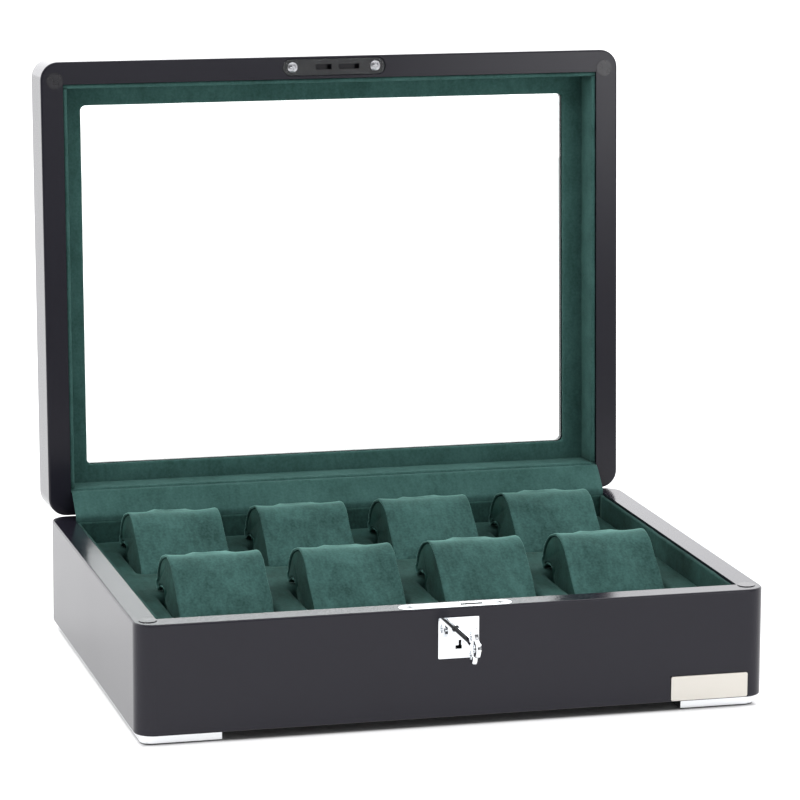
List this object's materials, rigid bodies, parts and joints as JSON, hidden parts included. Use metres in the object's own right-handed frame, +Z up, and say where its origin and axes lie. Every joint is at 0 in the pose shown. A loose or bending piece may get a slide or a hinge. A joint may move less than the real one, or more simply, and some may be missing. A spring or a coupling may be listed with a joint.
{
  "type": "watch box",
  "caption": "Lacquered watch box with a glazed hinged lid, velvet pillows in wells, bright runners, a box lock and its key.",
  "frame": {"origin": "on the floor under the middle of the case", "axes": "+X to the right seen from the front, +Y to the hinge side, +Z up"},
  "size_m": [0.335, 0.3379, 0.3182],
  "materials": {
    "lacquer": "satin black lacquer over board",
    "velvet": "short-pile velvet, dark green",
    "bottom_cloth": "black flocked board",
    "glass": "clear polished",
    "chrome": "polished plate",
    "steel": "satin",
    "nameplate": "satin",
    "pad": "soft translucent"
  },
  "bodies": {
    "base": {"base_carcass": "lacquer", "bottom_panel": "bottom_cloth", "foot_left": "chrome", "foot_right": "chrome", "base_liner_front": "velvet", "base_liner_back": "velvet", "base_liner_left": "velvet", "base_liner_right": "velvet", "cushion_tray": "velvet", "hinge_left_base_leaf": "steel", "hinge_right_base_leaf": "steel", "hinge_left_pin": "steel", "hinge_right_pin": "steel", "hinge_screws_base": "steel", "hinge_flap": "velvet", "lock_face_plate": "chrome", "lock_screws": "steel", "lock_case": "steel", "escutcheon": "chrome", "base_pads": "pad", "nameplate": "nameplate"},
    "lid": {"lid_frame": "lacquer", "glass_pane": "glass", "glass_retainer": "velvet", "lid_liner_front": "velvet", "lid_liner_back": "velvet", "lid_liner_left": "velvet", "lid_liner_right": "velvet", "hinge_left_lid_leaf": "steel", "hinge_right_lid_leaf": "steel", "hinge_screws_lid": "steel", "strike_plate": "chrome", "strike_screws": "steel", "lid_pads": "pad"},
    "lock_hub": {"lock_hub": "steel"},
    "hook_bolt": {"hook_bolt": "steel"},
    "key": {"key": "chrome"},
    "cushion_front_1": {"cushion_front_1": "velvet"},
    "cushion_front_2": {"cushion_front_2": "velvet"},
    "cushion_front_3": {"cushion_front_3": "velvet"},
    "cushion_front_4": {"cushion_front_4": "velvet"},
    "cushion_rear_1": {"cushion_rear_1": "velvet"},
    "cushion_rear_2": {"cushion_rear_2": "velvet"},
    "cushion_rear_3": {"cushion_rear_3": "velvet"},
    "cushion_rear_4": {"cushion_rear_4": "velvet"}
  },
  "joints": [
    {"name": "lid_swing", "type": "hinge", "parent": "base", "child": "lid", "pos_m": [0, 0.1272, 0.0639], "axis": [-1, 0, 0], "range_deg": [-92.75, 0], "deforming": ["hinge_flap"]},
    {"name": "hub_turn", "type": "hinge", "parent": "base", "child": "lock_hub", "pos_m": [0, -0.1245, 0.0505], "axis": [0, -1, 0], "range_deg": [0, 90]},
    {"name": "hook_swing", "type": "hinge", "parent": "base", "child": "hook_bolt", "pos_m": [0.0005, -0.1215, 0.057], "axis": [0, -1, 0], "range_deg": [0, 81]},
    {"name": "key_slide", "type": "slide", "parent": "lock_hub", "child": "key", "axis": [0, 1, 0], "range_m": [-0.03, 0]},
    {"name": "cushion_front_1_lift", "type": "slide", "parent": "base", "child": "cushion_front_1", "axis": [0, 0, 1], "range_m": [0, 0.08]},
    {"name": "cushion_front_2_lift", "type": "slide", "parent": "base", "child": "cushion_front_2", "axis": [0, 0, 1], "range_m": [0, 0.08]},
    {"name": "cushion_front_3_lift", "type": "slide", "parent": "base", "child": "cushion_front_3", "axis": [0, 0, 1], "range_m": [0, 0.08]},
    {"name": "cushion_front_4_lift", "type": "slide", "parent": "base", "child": "cushion_front_4", "axis": [0, 0, 1], "range_m": [0, 0.08]},
    {"name": "cushion_rear_1_lift", "type": "slide", "parent": "base", "child": "cushion_rear_1", "axis": [0, 0, 1], "range_m": [0, 0.08]},
    {"name": "cushion_rear_2_lift", "type": "slide", "parent": "base", "child": "cushion_rear_2", "axis": [0, 0, 1], "range_m": [0, 0.08]},
    {"name": "cushion_rear_3_lift", "type": "slide", "parent": "base", "child": "cushion_rear_3", "axis": [0, 0, 1], "range_m": [0, 0.08]},
    {"name": "cushion_rear_4_lift", "type": "slide", "parent": "base", "child": "cushion_rear_4", "axis": [0, 0, 1], "range_m": [0, 0.08]}
  ],
  "couplings": [
    {"joint": "hook_swing", "follows": "hub_turn", "ratio": 0.9}
  ]
}
